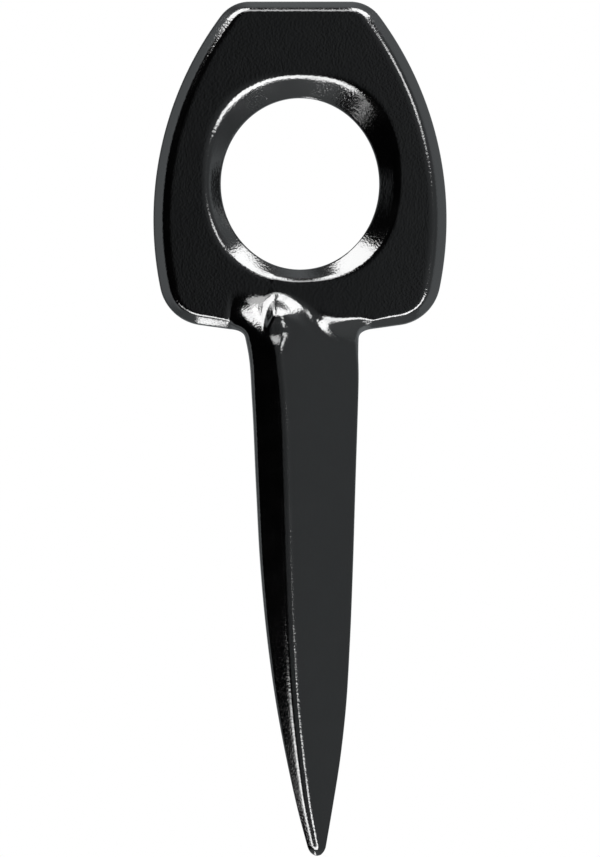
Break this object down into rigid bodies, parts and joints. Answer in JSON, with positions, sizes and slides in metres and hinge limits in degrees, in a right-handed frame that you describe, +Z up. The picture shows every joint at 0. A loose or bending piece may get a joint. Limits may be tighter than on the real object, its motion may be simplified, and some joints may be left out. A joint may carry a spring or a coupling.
{
  "type": "piton",
  "caption": "Forged rock piton: flat head plate with an oval carabiner eye, and a tapering angle-section blade.",
  "frame": {"origin": "where the blade leaves the underside of the head, on the middle plane of the head plate", "axes": "+Z up through the head, away from the blade's tip; -Y out of the front of the head plate, the side that the blade's ridge stands out on; +X to the right seen from the front"},
  "size_m": [0.0334, 0.008, 0.0975],
  "materials": {
    "black_coat": "glossy black coat over forged steel, slightly textured"
  },
  "bodies": {
    "root": {"forged_body": "black_coat"}
  },
  "joints": []
}
